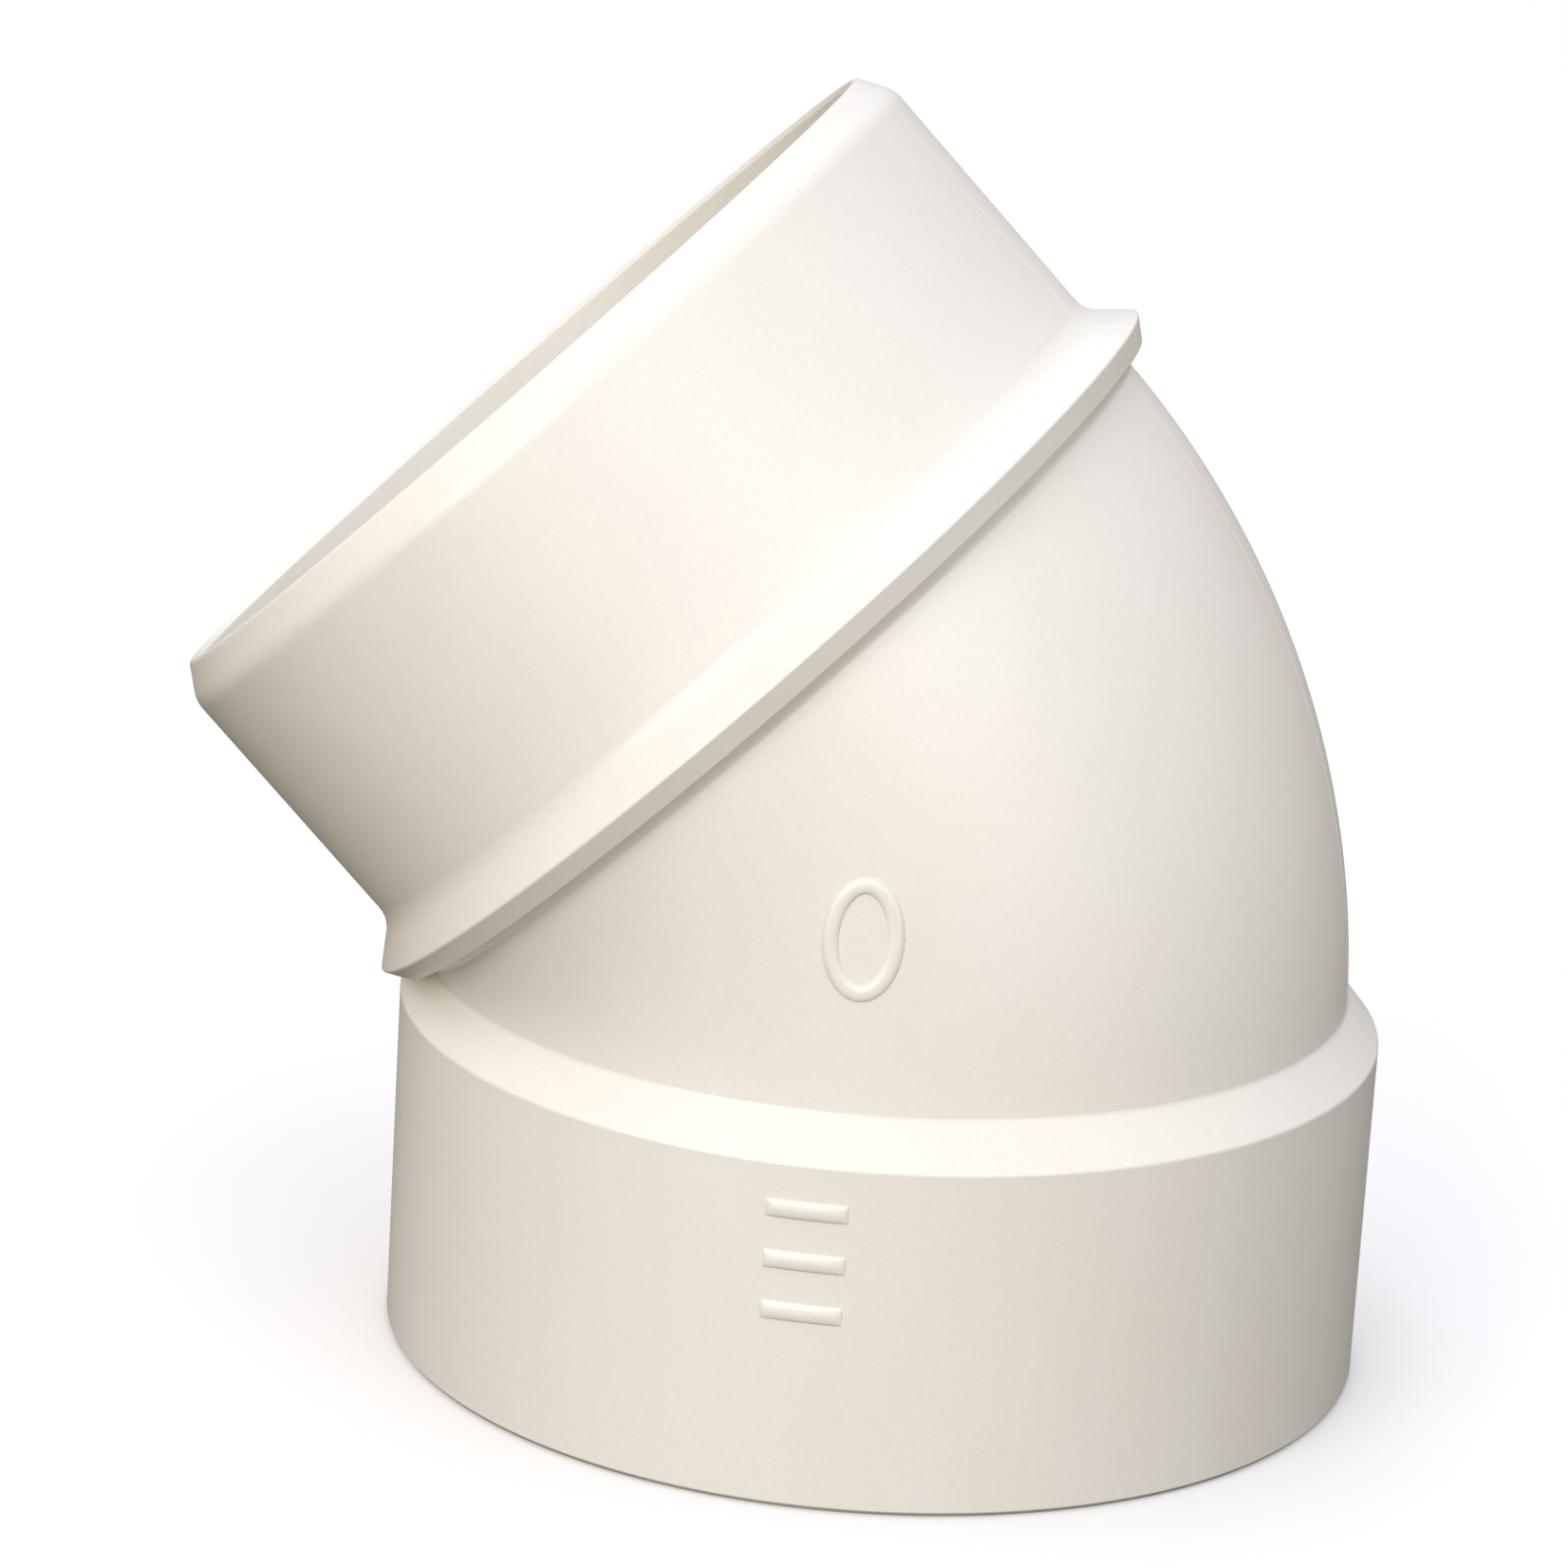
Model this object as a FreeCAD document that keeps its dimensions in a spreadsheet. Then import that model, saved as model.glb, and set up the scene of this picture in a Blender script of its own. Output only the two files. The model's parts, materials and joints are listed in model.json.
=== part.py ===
"""A 45 degree plastic conduit elbow: a socket below, a short tight bend, and a spigot with a stop collar.

The frame's origin is the centre of the socket's mouth and +Z runs up the socket's axis.
The bend turns towards -X, so the spigot's axis leans from +Z towards -X in the XZ plane.
The pieces are the sections of one hollow moulding, and they meet face to face.
"""
import FreeCAD
import Part
import Sketcher
import os

doc = FreeCAD.newDocument("ConduitElbow")
sheet = doc.addObject("Spreadsheet::Sheet", "dims")

DIMENSIONS = [
    # the conduit that the fitting joins
    ("conduitDiameter", 114.3),      # 4 inch trade size
    ("socketFit", 0.3),              # radial room for the conduit in the socket
    # the socket
    ("socketWall", 4.0),
    ("socketDepth", 44.45),          # mouth to pipe stop
    ("leadLength", 1.0),             # bevel inside the mouth
    ("leadWidth", 0.6),
    ("mouthBevel", 0.6),             # bevel outside the mouth
    ("shoulderDrop", 1.15),          # the outer shoulder starts this far below the pipe stop
    ("shoulderHeight", 5.2),         # up to where it meets the conduit's radius
    # the bend
    ("shellWall", 4.0),
    ("bendAngle", 45.0),
    ("throatRadius", 0.85),          # from the bend's axis to the inner side of the shell
    ("bendRise", 0.95),              # pipe stop to the start of the bend
    # the stop collar round the foot of the spigot
    ("collarHeight", 4.9),           # beyond the spigot's wall
    ("collarSet", 3.5),              # end of the bend to the collar's edge
    ("flareLength", 4.3),            # edge to where the flare meets the spigot
    ("lipLength", 2.8),              # narrow land below the edge
    ("lipLean", 1.8),                # the land leans in by this much towards its foot
    ("stepDepth", 3.5),              # step in below the land
    ("rampLength", 1.6),             # from the step down to the shell
    ("rampSink", 0.4),               # the ramp ends this far inside the shell's skin
    # the spigot
    ("spigotLength", 47.8),          # end of the bend to the rim
    ("rimBevelLength", 4.2),
    ("rimBevelDepth", 2.6),
    ("rimInnerBevel", 0.6),
    # raised moulding marks
    ("markHeight", 0.45),
    ("markReach", 12.0),             # how deep the mark blanks start inside the skin
    ("barWidth", 10.0),
    ("barThickness", 2.4),
    ("barPitch", 6.4),
    ("barDrop", 12.0),               # the middle bar, below the shoulder
    ("ovalWidth", 9.6),
    ("ovalHeight", 15.0),
    ("ovalLine", 2.0),
    ("ovalSide", 3.9),               # the oval's centre, beside the socket's axis
    ("ovalRise", 24.6),              # and above the start of the bend
    ("gateDiameter", 7.0),           # stub of the broken-off gate, behind the bend
    ("gateRise", 20.6),
]

DERIVED = [
    ("conduitRadius", "=conduitDiameter / 2"),
    ("boreRadius", "=conduitRadius + socketFit"),
    ("socketRadius", "=boreRadius + socketWall"),
    ("passageRadius", "=conduitRadius - shellWall"),
    ("shoulderStart", "=socketDepth - shoulderDrop"),
    # the shoulder's slope runs on inwards to the passage, and the bend's shell cuts it off on the way
    ("slope", "=shoulderHeight / (socketRadius - conduitRadius)"),
    ("slopeEnd", "=shoulderStart + slope * (socketRadius - passageRadius)"),
    ("bendRadius", "=conduitRadius + throatRadius"),
    ("bendStart", "=socketDepth + bendRise"),
    # the centre of the section where the bend ends and the spigot starts
    ("spigotX", "=bendRadius * (cos(bendAngle) - 1)"),
    ("spigotZ", "=bendStart + bendRadius * sin(bendAngle)"),
    ("collarRadius", "=conduitRadius + collarHeight"),
    ("flareEnd", "=collarSet + flareLength"),
    ("landEnd", "=collarSet - lipLength"),
    ("rampEnd", "=landEnd - rampLength"),
    ("barLevel", "=shoulderStart - barDrop - barThickness / 2"),
    ("blankStart", "=conduitRadius - markReach"),
    ("blankLength", "=socketRadius - blankStart + 2 * markHeight"),
]


def fill_sheet():
    """Write every size once, then what follows from them, and give each cell its name."""
    for row, (name, value) in enumerate(DIMENSIONS + DERIVED, start=1):
        sheet.set("A%d" % row, name)
        sheet.set("B%d" % row, str(value))
        sheet.setAlias("B%d" % row, name)
    doc.recompute()


def bind(thing, sizes):
    """Bind properties to sheet expressions."""
    for name, expression in sizes.items():
        thing.setExpression(name, expression)


def new_body(label, base=("0", "0", "0"), leaning=False):
    """An empty body at a point of the frame, upright or leaning with the spigot."""
    body = doc.addObject("PartDesign::Body", label)
    if leaning:
        body.Placement = FreeCAD.Placement(FreeCAD.Vector(), FreeCAD.Rotation(FreeCAD.Vector(0, -1, 0), 45))
        body.setExpression("Placement.Rotation.Angle", "dims.bendAngle")
    bind(body, {"Placement.Base.x": base[0], "Placement.Base.y": base[1], "Placement.Base.z": base[2]})
    return body


def new_sketch(body, role):
    """A sketch on one of the body's own origin planes."""
    plane = [item for item in body.Origin.OriginFeatures if item.Role == role][0]
    sketch = body.newObject("Sketcher::SketchObject", body.Name + "Sketch")
    sketch.AttachmentSupport = [(plane, "")]
    sketch.MapMode = "FlatFace"
    return sketch


def bound_constraint(sketch, name, constraint, expression):
    number = sketch.addConstraint(constraint)
    sketch.renameConstraint(number, name)
    sketch.setExpression("Constraints." + name, expression)


def revolve(body, sketch, angle):
    """Turn a sketch about its own vertical axis."""
    turn = body.newObject("PartDesign::Revolution", body.Name + "Turn")
    turn.Profile = sketch
    turn.ReferenceAxis = (sketch, ["V_Axis"])
    turn.setExpression("Angle", angle)
    sketch.Visibility = False
    return turn


def turned_body(label, corners, base=("0", "0", "0"), leaning=False):
    """A body of revolution. Each corner of its outline is a radius and a height, as sheet expressions."""
    body = new_body(label, base, leaning)
    sketch = new_sketch(body, "XZ_Plane")
    count = len(corners)
    for index in range(count):
        start = FreeCAD.Vector(10 + index, index * index, 0)
        end = FreeCAD.Vector(10 + (index + 1) % count, ((index + 1) % count) ** 2, 0)
        sketch.addGeometry(Part.LineSegment(start, end), False)
    for index in range(count):
        sketch.addConstraint(Sketcher.Constraint("Coincident", index, 2, (index + 1) % count, 1))
    for index, (radius, height) in enumerate(corners):
        across = Sketcher.Constraint("DistanceX", -1, 1, index, 1, 10.0 + index)
        up = Sketcher.Constraint("DistanceY", -1, 1, index, 1, float(index * index))
        bound_constraint(sketch, "radius%d" % index, across, radius)
        bound_constraint(sketch, "height%d" % index, up, height)
    revolve(body, sketch, "360")
    return body


def bend_body(label, radii):
    """A round section, solid or hollow, turned through the bend about the axis beside the throat."""
    body = new_body(label, ("-dims.bendRadius", "0", "dims.bendStart"))
    sketch = new_sketch(body, "XY_Plane")
    for index, radius in enumerate(radii):
        circle = Part.Circle(FreeCAD.Vector(60, 0, 0), FreeCAD.Vector(0, 0, 1), 50 + index)
        sketch.addGeometry(circle, False)
        sketch.addConstraint(Sketcher.Constraint("PointOnObject", index, 3, -1))
        centre = Sketcher.Constraint("DistanceX", -1, 1, index, 3, 60.0)
        bound_constraint(sketch, "centre%d" % index, centre, "dims.bendRadius")
        bound_constraint(sketch, "radius%d" % index, Sketcher.Constraint("Radius", index, 50.0 + index), radius)
    turn = revolve(body, sketch, "dims.bendAngle")
    turn.Reversed = True
    return body


def boolean(kind, label, base, tool):
    result = doc.addObject(kind, label)
    result.Base = base
    result.Tool = tool
    return result


def cut(label, base, tool):
    return boolean("Part::Cut", label, base, tool)


def fuse(label, base, tool):
    return boolean("Part::Fuse", label, base, tool)


def common(label, base, tool):
    return boolean("Part::Common", label, base, tool)


# ---- the socket ----

def make_socket():
    """The sleeve, and the shoulder with the last of the bore and the ledge that stops the conduit."""
    sleeve = turned_body("socket_sleeve", [
        ("dims.boreRadius + dims.leadWidth", "0"),
        ("dims.socketRadius - dims.mouthBevel", "0"),
        ("dims.socketRadius", "dims.mouthBevel"),
        ("dims.socketRadius", "dims.shoulderStart"),
        ("dims.boreRadius", "dims.shoulderStart"),
        ("dims.boreRadius", "dims.leadLength"),
    ])
    ring = turned_body("shoulderRing", [
        ("dims.passageRadius", "dims.socketDepth"),
        ("dims.boreRadius", "dims.socketDepth"),
        ("dims.boreRadius", "dims.shoulderStart"),
        ("dims.socketRadius", "dims.shoulderStart"),
        ("dims.passageRadius", "dims.slopeEnd"),
    ])
    shoulder = cut("socket_shoulder", ring, tube_solid)
    return [sleeve, shoulder]


def make_socket_solid():
    """The socket's outer form without its bore, which trims what would run into it."""
    return turned_body("socketSolid", [
        ("0", "0"),
        ("dims.socketRadius", "0"),
        ("dims.socketRadius", "dims.shoulderStart"),
        ("dims.passageRadius", "dims.slopeEnd"),
        ("0", "dims.slopeEnd"),
    ])


# ---- the bend and the spigot ----

SPIGOT_FOOT = ("dims.spigotX", "0", "dims.spigotZ")


def make_tube_solid():
    """The bend and the spigot without their passage."""
    spigot_solid = turned_body("spigotSolid", [
        ("0", "0"),
        ("dims.conduitRadius", "0"),
        ("dims.conduitRadius", "dims.spigotLength"),
        ("0", "dims.spigotLength"),
    ], SPIGOT_FOOT, leaning=True)
    return fuse("tubeSolid", bend_solid, spigot_solid)


def make_spigot():
    """The plain tube from the collar's flare to the rim."""
    return turned_body("spigot_tube", [
        ("dims.passageRadius", "dims.flareEnd"),
        ("dims.conduitRadius", "dims.flareEnd"),
        ("dims.conduitRadius", "dims.spigotLength - dims.rimBevelLength"),
        ("dims.conduitRadius - dims.rimBevelDepth", "dims.spigotLength"),
        ("dims.passageRadius + dims.rimInnerBevel", "dims.spigotLength"),
        ("dims.passageRadius", "dims.spigotLength - dims.rimInnerBevel"),
    ], SPIGOT_FOOT, leaning=True)


def make_collar():
    """The tube's foot, with a flare that faces the rim, a narrow edge, a step, and a ramp down to the bend."""
    foot = turned_body("collarFoot", [
        ("dims.passageRadius", "0"),
        ("dims.conduitRadius", "0"),
        ("dims.conduitRadius", "dims.flareEnd"),
        ("dims.passageRadius", "dims.flareEnd"),
    ], SPIGOT_FOOT, leaning=True)
    ring = turned_body("collarRing", [
        ("dims.passageRadius", "dims.flareEnd"),
        ("dims.passageRadius", "dims.rampEnd"),
        ("dims.conduitRadius - dims.rampSink", "dims.rampEnd"),
        ("dims.collarRadius - dims.stepDepth", "dims.landEnd"),
        ("dims.collarRadius - dims.lipLean", "dims.landEnd"),
        ("dims.collarRadius", "dims.collarSet"),
        ("dims.conduitRadius", "dims.flareEnd"),
    ], SPIGOT_FOOT, leaning=True)
    around_tube = cut("collarAroundTube", ring, tube_solid)
    clear_of_socket = cut("collarClear", around_tube, socket_solid)
    return fuse("stop_collar", foot, clear_of_socket)


# ---- the raised marks ----

def make_bars():
    """Three short bars in a column on the front of the socket."""
    skin = doc.addObject("Part::Cylinder", "barSkin")
    bind(skin, {"Radius": "dims.socketRadius + dims.markHeight", "Height": "dims.socketDepth"})
    bars = []
    for number in (1, 2, 3):
        blank = doc.addObject("Part::Box", "barBlank%d" % number)
        bind(blank, {
            "Length": "dims.barWidth",
            "Width": "dims.blankLength",
            "Height": "dims.barThickness",
            "Placement.Base.x": "-dims.barWidth / 2",
            "Placement.Base.y": "-dims.blankStart - dims.blankLength",
            "Placement.Base.z": "dims.barLevel + %d * dims.barPitch" % (number - 2),
        })
        raised = common("barRaised%d" % number, blank, skin)
        bars.append(cut("socket_bar_%d" % number, raised, socket_solid))
    return bars


def oval_blank(label, width, height):
    """An upright oval prism that runs out through the front of the bend."""
    outline = doc.addObject("Part::Ellipse", label + "Outline")
    # the long axis stands upright and the outline's plane faces the front
    turned = FreeCAD.Rotation(FreeCAD.Vector(0, 0, 1), FreeCAD.Vector(1, 0, 0), FreeCAD.Vector(0, 1, 0), "XYZ")
    outline.Placement = FreeCAD.Placement(FreeCAD.Vector(), turned)
    bind(outline, {
        "MajorRadius": height + " / 2",
        "MinorRadius": width + " / 2",
        "Placement.Base.x": "dims.ovalSide",
        "Placement.Base.y": "-dims.blankStart",
        "Placement.Base.z": "dims.bendStart + dims.ovalRise",
    })
    prism = doc.addObject("Part::Extrusion", label)
    prism.Base = outline
    prism.DirMode = "Custom"
    prism.Dir = FreeCAD.Vector(0, -1, 0)
    prism.Solid = True
    prism.setExpression("LengthFwd", "dims.blankLength")
    return prism


def make_oval():
    """A plain oval ring on the front of the bend."""
    outer = oval_blank("ovalOuter", "dims.ovalWidth", "dims.ovalHeight")
    inner = oval_blank("ovalInner", "(dims.ovalWidth - 2 * dims.ovalLine)", "(dims.ovalHeight - 2 * dims.ovalLine)")
    raised = common("ovalRaised", cut("ovalRing", outer, inner), bend_skin)
    return cut("bend_oval", raised, bend_solid)


def make_gate():
    """The low round stub where the moulding's gate was broken off, behind the bend."""
    blank = doc.addObject("Part::Cylinder", "gateBlank")
    blank.Placement = FreeCAD.Placement(FreeCAD.Vector(), FreeCAD.Rotation(FreeCAD.Vector(1, 0, 0), -90))
    bind(blank, {
        "Radius": "dims.gateDiameter / 2",
        "Height": "dims.blankLength",
        "Placement.Base.x": "dims.ovalSide",
        "Placement.Base.y": "dims.blankStart",
        "Placement.Base.z": "dims.bendStart + dims.gateRise",
    })
    raised = common("gateRaised", blank, bend_skin)
    return cut("gate_stub", raised, bend_solid)


fill_sheet()
socket_solid = make_socket_solid()
bend_solid = bend_body("bendSolid", ["dims.conduitRadius"])
bend_skin = bend_body("bendSkin", ["dims.conduitRadius + dims.markHeight"])
tube_solid = make_tube_solid()
bend_shell = bend_body("bend_shell", ["dims.conduitRadius", "dims.passageRadius"])

sub_parts = make_socket()
sub_parts.append(bend_shell)
sub_parts.append(make_collar())
sub_parts.append(make_spigot())
sub_parts.extend(make_bars())
sub_parts.append(make_oval())
sub_parts.append(make_gate())
doc.recompute()

for item in doc.Objects:
    if "Invalid" in item.State or "Error" in item.State:
        raise RuntimeError("%s did not compute: %s" % (item.Label, item.State))
for item in sub_parts:
    if item.Shape.isNull() or not item.Shape.isValid() or len(item.Shape.Solids) != 1:
        raise RuntimeError("%s is not one valid solid" % item.Label)

os.makedirs("parts", exist_ok=True)
for item in sub_parts:
    item.Shape.exportStep("parts/%s.step" % item.Label)
    print("%-16s %10.1f mm3" % (item.Label, item.Shape.Volume))
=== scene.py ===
import json
import math
import bmesh
import bpy
import numpy as np
from mathutils import Matrix, Vector


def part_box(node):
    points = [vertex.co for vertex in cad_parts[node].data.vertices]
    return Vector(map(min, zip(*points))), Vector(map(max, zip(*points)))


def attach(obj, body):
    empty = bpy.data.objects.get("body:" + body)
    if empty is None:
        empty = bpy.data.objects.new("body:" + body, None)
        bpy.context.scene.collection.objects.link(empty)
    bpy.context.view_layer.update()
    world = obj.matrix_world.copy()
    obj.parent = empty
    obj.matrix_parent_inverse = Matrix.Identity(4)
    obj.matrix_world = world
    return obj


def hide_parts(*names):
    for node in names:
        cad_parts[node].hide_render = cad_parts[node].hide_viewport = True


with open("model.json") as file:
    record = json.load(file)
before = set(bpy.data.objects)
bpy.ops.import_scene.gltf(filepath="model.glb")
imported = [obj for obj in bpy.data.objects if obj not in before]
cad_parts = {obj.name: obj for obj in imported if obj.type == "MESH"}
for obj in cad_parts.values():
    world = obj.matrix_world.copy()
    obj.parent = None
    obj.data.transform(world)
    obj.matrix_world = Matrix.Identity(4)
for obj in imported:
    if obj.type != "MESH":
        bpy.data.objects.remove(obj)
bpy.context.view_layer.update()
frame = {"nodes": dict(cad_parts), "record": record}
print("frame loaded:", len(frame["nodes"]), "nodes")

mm = 0.001
mounts = {m["name"]: m for m in frame["record"]["mounts"]}


def linear(hexColour):
    channels = [int(hexColour[i:i + 2], 16) / 255 for i in (1, 3, 5)]
    return [c / 12.92 if c <= 0.04045 else ((c + 0.055) / 1.055) ** 2.4 for c in channels] + [1.0]


def addNode(tree, kind, inputs=None, **settings):
    node = tree.nodes.new(kind)
    for name, value in settings.items():
        setattr(node, name, value)
    for key, value in (inputs or {}).items():
        if isinstance(value, bpy.types.NodeSocket):
            tree.links.new(value, node.inputs[key])
        else:
            node.inputs[key].default_value = value
    return node


def unit(v):
    return v / np.linalg.norm(v, axis=-1, keepdims=True)


# corners are (x, y, radius); each one with a radius becomes an arc, with a point close
# beside it at both ends, so that the flat runs next to an arc shade flat
def roundedRun(corners, closed=True, arcSteps=7, guard=0.12, longest=4.0):
    points = np.array([c[:2] for c in corners], float)
    count = len(points)
    run = []
    for i, corner in enumerate(corners):
        here, radius = points[i], corner[2]
        if radius == 0:
            run.append(here)
            continue
        before = unit(points[i - 1] - here)
        after = unit(points[(i + 1) % count] - here)
        half = math.acos(float(np.clip(before @ after, -1, 1))) / 2
        back = radius / math.tan(half)
        middle = here + unit(before + after) * radius / math.sin(half)
        first, last = here + before * back - middle, here + after * back - middle
        run.append(here + before * (back + guard))
        for share in np.linspace(0, 1, arcSteps):
            run.append(middle + unit(first * (1 - share) + last * share) * radius)
        run.append(here + after * (back + guard))
    out = []
    for i, point in enumerate(run):
        out.append(point)
        if i + 1 == len(run) and not closed:
            break
        gap = run[(i + 1) % len(run)] - point
        parts = max(1, math.ceil(np.linalg.norm(gap) / longest))
        out += [point + gap * k / parts for k in range(1, parts)]
    return np.array(out)


def meshFrom(name, points, faces=()):
    mesh = bpy.data.meshes.new(name)
    mesh.from_pydata([tuple(p) for p in points], [], [tuple(f) for f in faces])
    return mesh


# a closed skin over a grid of points, wrapped round both ways
def wrappedFaces(rows, columns):
    i, j = np.meshgrid(np.arange(rows), np.arange(columns), indexing="ij")
    a, b = (i + 1) % rows, (j + 1) % columns
    return np.stack([i * columns + j, a * columns + j, a * columns + b, i * columns + b], -1).reshape(-1, 4)


def finishPiece(obj, node):
    work = bmesh.new()
    work.from_mesh(obj.data)
    bmesh.ops.remove_doubles(work, verts=work.verts, dist=1e-6)
    bmesh.ops.dissolve_degenerate(work, dist=1e-7, edges=work.edges)
    bmesh.ops.recalc_face_normals(work, faces=work.faces)
    if work.calc_volume(signed=True) < 0:
        bmesh.ops.reverse_faces(work, faces=work.faces)
    openEdges = sum(len(e.link_faces) != 2 for e in work.edges)
    work.to_mesh(obj.data)
    volume = work.calc_volume()
    work.free()
    obj.data.shade_smooth()
    obj.data.set_sharp_from_angle(angle=math.radians(32))
    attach(obj, "root")
    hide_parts(node)
    print(f"  {obj.name}: {len(obj.data.polygons)} faces, {openEdges} open edges, {volume * 1e9:.0f} mm3")


# Rigid PVC, injection moulded in polished steel: dense creamy white, opaque, with a soft
# gloss, a faint orange-peel ripple and slow cloudy drifts of colour from the melt.
mouldedPvc = {
    "body": "#eae6dd",
    "warm": "#e8e3d8",
    "pale": "#ebe8e0",
    "grain": "#d9d3c5",
    "grainSize": 0.5,       # mm
    "grainShare": 0.16,
    "cloudSize": 42.0,      # mm
    "streakWidth": 12.0,
    "streakLength": 34.0,
    "peelSize": 1.9,        # mm across one ripple
    "peelDepth": 0.006,     # mm
    "waveSize": 14.0,       # the slow unevenness of a shrunk wall
    "waveDepth": 0.03,
    "rubSize": 8.0,         # patches polished a little more or less
    "roughness": (0.335, 0.355),   # wider apart, the gloss would step in hard-edged patches
    "ior": 1.53,
}


def makePvc(values):
    material = bpy.data.materials.new("mouldedPvc")
    material.use_nodes = True
    tree = material.node_tree
    tree.nodes.clear()
    place = addNode(tree, "ShaderNodeTexCoord").outputs["Object"]

    cloud = addNode(tree, "ShaderNodeTexNoise", {
        "Vector": place, "Scale": 1 / (values["cloudSize"] * mm), "Detail": 2.0, "Roughness": 0.45})
    # melt streaks run up the fitting, so they are long in Z and narrow round it
    drawn = addNode(tree, "ShaderNodeMapping", {
        "Vector": place, "Scale": (1.0, 1.0, values["streakWidth"] / values["streakLength"])})
    streak = addNode(tree, "ShaderNodeTexNoise", {
        "Vector": drawn.outputs["Vector"], "Scale": 1 / (values["streakWidth"] * mm), "Detail": 1.0,
        "Roughness": 0.4})
    cloudShare = addNode(tree, "ShaderNodeMapRange", {
        "Value": cloud.outputs["Fac"], "From Min": 0.25, "From Max": 0.75}, interpolation_type="SMOOTHSTEP")
    streakShare = addNode(tree, "ShaderNodeMapRange", {
        "Value": streak.outputs["Fac"], "From Min": 0.25, "From Max": 0.8, "To Max": 0.5},
        interpolation_type="SMOOTHSTEP")
    clouded = addNode(tree, "ShaderNodeMix", {
        0: cloudShare.outputs["Result"], 6: linear(values["body"]), 7: linear(values["warm"])}, data_type="RGBA")
    streaked = addNode(tree, "ShaderNodeMix", {
        0: streakShare.outputs["Result"], 6: clouded.outputs[2], 7: linear(values["pale"])}, data_type="RGBA")

    rubbed = addNode(tree, "ShaderNodeTexNoise", {
        "Vector": place, "Scale": 1 / (values["rubSize"] * mm), "Detail": 1.0, "Roughness": 0.4})
    rough = addNode(tree, "ShaderNodeMapRange", {
        "Value": rubbed.outputs["Fac"], "From Min": 0.25, "From Max": 0.75,
        "To Min": values["roughness"][0], "To Max": values["roughness"][1]})

    peel = addNode(tree, "ShaderNodeTexNoise", {
        "Vector": place, "Scale": 1 / (values["peelSize"] * mm), "Detail": 1.0})
    wave = addNode(tree, "ShaderNodeTexNoise", {
        "Vector": place, "Scale": 1 / (values["waveSize"] * mm), "Detail": 0.0})
    waveBump = addNode(tree, "ShaderNodeBump", {
        "Height": wave.outputs["Fac"], "Distance": values["waveDepth"] * mm, "Strength": 1.0})
    peelBump = addNode(tree, "ShaderNodeBump", {
        "Height": peel.outputs["Fac"], "Distance": values["peelDepth"] * mm, "Strength": 1.0,
        "Normal": waveBump.outputs["Normal"]})

    # resin grains: in truth finer, drawn as coarse as shows
    grain = addNode(tree, "ShaderNodeTexNoise", {
        "Vector": place, "Scale": 1 / (values["grainSize"] * mm), "Detail": 0.0})
    grainShare = addNode(tree, "ShaderNodeMapRange", {
        "Value": grain.outputs["Fac"], "From Min": 0.25, "From Max": 0.75, "To Max": values["grainShare"]})
    grained = addNode(tree, "ShaderNodeMix", {
        0: grainShare.outputs["Result"], 6: streaked.outputs[2], 7: linear(values["grain"])}, data_type="RGBA")

    shader = addNode(tree, "ShaderNodeBsdfPrincipled", {
        "Base Color": grained.outputs[2], "Roughness": rough.outputs["Result"],
        "Normal": peelBump.outputs["Normal"], "IOR": values["ior"],
        "Subsurface Weight": 0.06, "Subsurface Scale": 0.0012, "Subsurface Radius": (1.0, 0.8, 0.6)})
    addNode(tree, "ShaderNodeOutputMaterial", {"Surface": shader.outputs["BSDF"]})
    return material


pvc = makePvc(mouldedPvc)
print("finish made:", pvc.name)


# straight up out of the socket, round a tight bend, then straight on into the spigot
elbow = {
    "skin": mounts["spigot"]["dims"]["r_mm"],      # outside radius of bend and spigot
    "wall": 4.0,
    "turnRadius": 58.0,
    "turnAngle": 45.0,
    "turnStart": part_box("bend_shell")[0].z / mm,   # height at which the bend begins
    "flashHeight": 0.07,   # the fine line where the two mould halves met
    "flashWidth": 0.44,
}
skin = elbow["skin"]
passage = skin - elbow["wall"]
turnRadius, turnStart = elbow["turnRadius"], elbow["turnStart"]
turnAngle = math.radians(elbow["turnAngle"])
spigotAxis = np.array([-math.sin(turnAngle), 0.0, math.cos(turnAngle)])
heelSide = np.array([math.cos(turnAngle), 0.0, math.sin(turnAngle)])
spigotFoot = np.array([turnRadius * (math.cos(turnAngle) - 1), 0.0, turnStart + turnRadius * math.sin(turnAngle)])

socket = {
    "radius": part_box("socket_sleeve")[1].x / mm,
    "bore": mounts["socket_bore"]["dims"]["r_mm"],
    "stop": mounts["pipe_stop"]["pos_m"][2] / mm,
    "shoulderFoot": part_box("socket_sleeve")[1].z / mm,
    "shoulderIn": 4.3,
    "shoulderUp": 5.2,
}
slope = socket["shoulderUp"] / socket["shoulderIn"]

# directions round an axis, closer together where the mould line runs at 0 and 180 degrees
flashHalf = math.degrees(elbow["flashWidth"] / 2 / skin)
beside = flashHalf * np.array([-1.35, -1, -0.66, -0.33, 0, 0.33, 0.66, 1, 1.35])
even = [d for d in np.arange(0, 360, 0.5) if min(d % 180, 180 - d % 180) > 0.3]
directions = np.radians(np.sort(np.concatenate([even, beside % 360, beside + 180])))
fromLine = np.degrees(np.abs(np.arcsin(np.sin(directions))))
flashShare = np.where(fromLine < flashHalf, np.cos(np.clip(fromLine / flashHalf, 0, 1) * math.pi / 2) ** 2, 0.0)
flash = elbow["flashHeight"] * flashShare


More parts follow.
